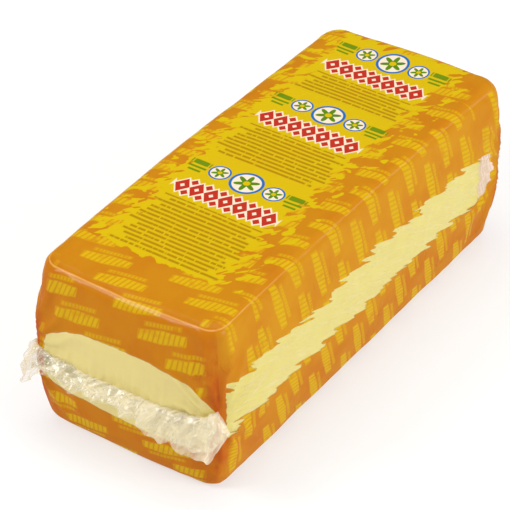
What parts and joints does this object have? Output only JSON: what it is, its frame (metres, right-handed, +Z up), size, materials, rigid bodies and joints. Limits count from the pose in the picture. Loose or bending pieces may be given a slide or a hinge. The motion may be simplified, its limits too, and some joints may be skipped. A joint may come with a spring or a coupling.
{
  "type": "shrink-wrapped butter cheese loaf",
  "caption": "Long block of mild semi-soft cheese in a printed shrink film with clear bands and crumpled end seals.",
  "frame": {"origin": "centre of the flat base, on the surface the loaf lies on", "axes": "+Z up, +Y along the loaf away from its front end seal, +X to the right seen from the front"},
  "size_m": [0.1286, 0.3022, 0.099],
  "materials": {
    "cheese": "smooth, waxy, pale butter yellow",
    "printed_film": "thin glossy film printed orange and yellow, with clear unprinted bands",
    "clear_film": "thin clear glossy film, gathered and crumpled"
  },
  "bodies": {
    "root": {"cheese_loaf": "cheese", "film_sleeve": "printed_film", "end_seal_front": "clear_film", "end_seal_back": "clear_film"}
  },
  "joints": []
}
